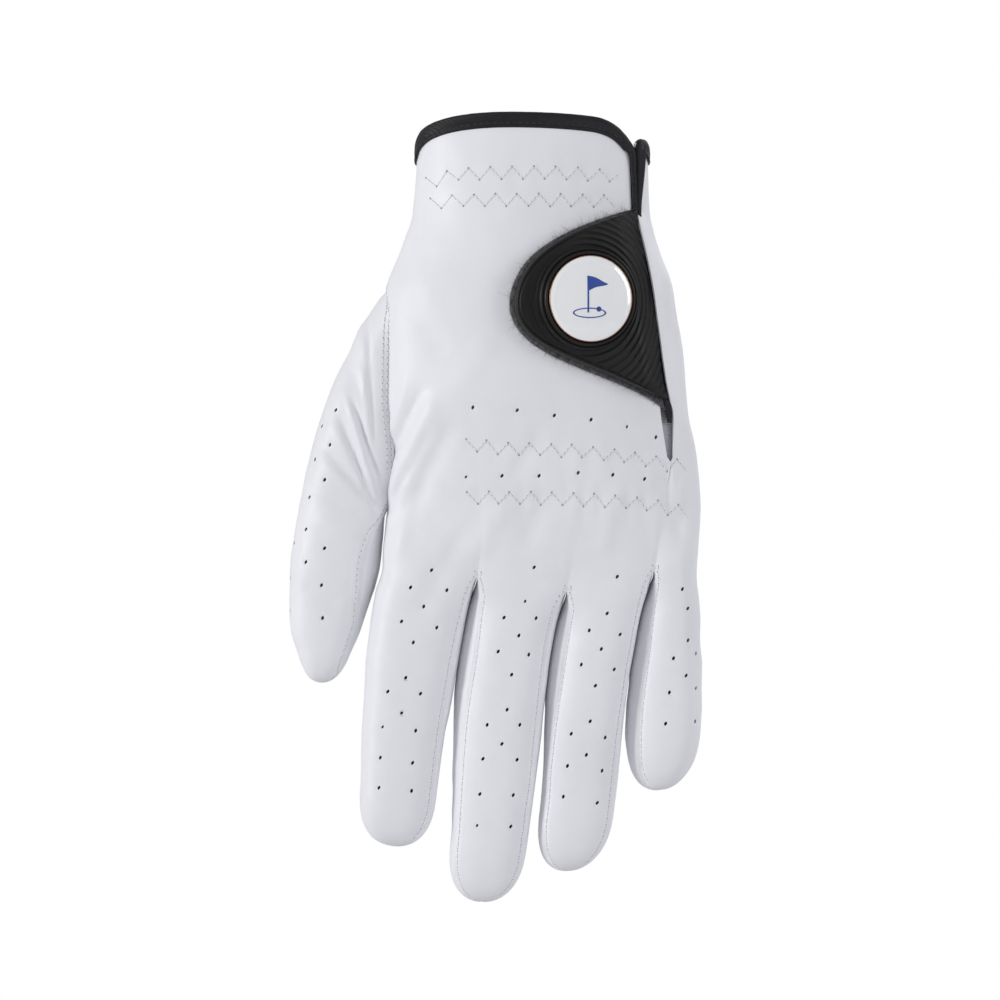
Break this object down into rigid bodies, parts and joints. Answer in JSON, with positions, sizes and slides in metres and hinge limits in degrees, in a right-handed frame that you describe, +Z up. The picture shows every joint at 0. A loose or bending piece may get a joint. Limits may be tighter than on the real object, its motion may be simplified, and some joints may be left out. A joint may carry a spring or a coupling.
{
  "type": "golf glove",
  "caption": "Left-hand leather golf glove with stitched finger strips, a black moulded closure tab over a wrist slit, a removable round ball marker and bending fingers.",
  "frame": {"origin": "middle of the wrist opening", "axes": "+Z up through the wrist opening with the fingers hanging down, -Y out of the back of the hand, +Y out of the palm, -X towards the thumb"},
  "size_m": [0.1203, 0.0415, 0.2286],
  "materials": {
    "white_leather": "soft matt",
    "white_elastic": "knitted, matt",
    "black_tape": "matt, folded",
    "black_rubber": "moulded, satin",
    "grey_hook": "hooked",
    "grey_loop": "looped pile",
    "nickel_magnet": "plated",
    "coppery_steel": "polished rim",
    "white_enamel": "gloss dome"
  },
  "bodies": {
    "hand": {"back_panel": "white_leather", "cuff_binding": "black_tape", "knuckle_elastic_lower": "white_elastic", "knuckle_elastic_upper": "white_elastic", "loop_patch": "grey_loop", "palm_panel": "white_leather", "slit_binding_back": "black_tape", "slit_binding_flap": "black_tape", "slit_gusset": "white_elastic", "thumb_root": "white_leather", "wrist_elastic": "white_elastic"},
    "knuckles": {"fourchette_index_middle": "white_leather", "fourchette_middle_ring": "white_leather", "fourchette_ring_little": "white_leather", "knuckle_back": "white_leather", "knuckle_palm": "white_leather"},
    "tab": {"hook_pad": "grey_hook", "seat_cup": "black_rubber", "seat_magnet": "nickel_magnet", "tab_moulding": "black_rubber", "tab_strap": "black_tape"},
    "marker": {"marker_body": "coppery_steel", "marker_dome": "white_enamel"},
    "thumb_base": {"thumb_base_back": "white_leather", "thumb_base_gusset": "white_leather", "thumb_base_palm": "white_leather"},
    "thumb_tip": {"thumb_tip_back": "white_leather", "thumb_tip_gusset": "white_leather", "thumb_tip_palm": "white_leather"},
    "index_mid": {"index_mid_back": "white_leather", "index_mid_palm": "white_leather", "index_mid_right_strip": "white_leather"},
    "index_tip": {"index_tip_back": "white_leather", "index_tip_palm": "white_leather", "index_tip_right_strip": "white_leather"},
    "middle_mid": {"middle_mid_back": "white_leather", "middle_mid_left_strip": "white_leather", "middle_mid_palm": "white_leather", "middle_mid_right_strip": "white_leather"},
    "middle_tip": {"middle_tip_back": "white_leather", "middle_tip_left_strip": "white_leather", "middle_tip_palm": "white_leather", "middle_tip_right_strip": "white_leather"},
    "ring_mid": {"ring_mid_back": "white_leather", "ring_mid_left_strip": "white_leather", "ring_mid_palm": "white_leather", "ring_mid_right_strip": "white_leather"},
    "ring_tip": {"ring_tip_back": "white_leather", "ring_tip_left_strip": "white_leather", "ring_tip_palm": "white_leather", "ring_tip_right_strip": "white_leather"},
    "little_mid": {"little_mid_back": "white_leather", "little_mid_left_strip": "white_leather", "little_mid_palm": "white_leather"},
    "little_tip": {"little_tip_back": "white_leather", "little_tip_left_strip": "white_leather", "little_tip_palm": "white_leather"}
  },
  "joints": [
    {"name": "knuckle_flex", "type": "hinge", "parent": "hand", "child": "knuckles", "pos_m": [-0.00122, 0, -0.11138], "axis": [0.9925, 0, -0.1219], "range_deg": [0, 60]},
    {"name": "index_mid_flex", "type": "hinge", "parent": "knuckles", "child": "index_mid", "pos_m": [-0.0357, 0, -0.15147], "axis": [0.9925, 0, -0.1219], "range_deg": [0, 80]},
    {"name": "index_tip_flex", "type": "hinge", "parent": "index_mid", "child": "index_tip", "pos_m": [-0.03798, 0, -0.17638], "axis": [0.9925, 0, -0.1219], "range_deg": [0, 53.7]},
    {"name": "middle_mid_flex", "type": "hinge", "parent": "knuckles", "child": "middle_mid", "pos_m": [-0.00872, 0, -0.15882], "axis": [0.9925, 0, -0.1219], "range_deg": [0, 80]},
    {"name": "middle_tip_flex", "type": "hinge", "parent": "middle_mid", "child": "middle_tip", "pos_m": [-0.01132, 0, -0.18771], "axis": [0.9925, 0, -0.1219], "range_deg": [0, 53.7]},
    {"name": "ring_mid_flex", "type": "hinge", "parent": "knuckles", "child": "ring_mid", "pos_m": [0.0169, 0.0004, -0.15591], "axis": [0.9925, 0, -0.1219], "range_deg": [0, 80]},
    {"name": "ring_tip_flex", "type": "hinge", "parent": "ring_mid", "child": "ring_tip", "pos_m": [0.01393, 0.0004, -0.18275], "axis": [0.9925, 0, -0.1219], "range_deg": [0, 53.7]},
    {"name": "little_mid_flex", "type": "hinge", "parent": "knuckles", "child": "little_mid", "pos_m": [0.03966, 0.001, -0.14612], "axis": [0.9925, 0, -0.1219], "range_deg": [0, 80]},
    {"name": "little_tip_flex", "type": "hinge", "parent": "little_mid", "child": "little_tip", "pos_m": [0.03836, 0.001, -0.1656], "axis": [0.9925, 0, -0.1219], "range_deg": [0, 53.7]},
    {"name": "thumb_base_flex", "type": "hinge", "parent": "hand", "child": "thumb_base", "pos_m": [-0.05532, 0.003, -0.1007], "axis": [0.9925, 0, -0.1219], "range_deg": [0, 45]},
    {"name": "thumb_tip_flex", "type": "hinge", "parent": "thumb_base", "child": "thumb_tip", "pos_m": [-0.05923, 0.003, -0.12843], "axis": [0.9925, 0, -0.1219], "range_deg": [0, 60]},
    {"name": "tab_open", "type": "hinge", "parent": "hand", "child": "tab", "pos_m": [0.03525, -0.0094, -0.0503], "axis": [-0.162, 0, 0.9868], "range_deg": [0, 120]},
    {"name": "marker_lift", "type": "slide", "parent": "tab", "child": "marker", "axis": [0.2924, -0.9563, 0], "range_m": [0, 0.02]}
  ]
}
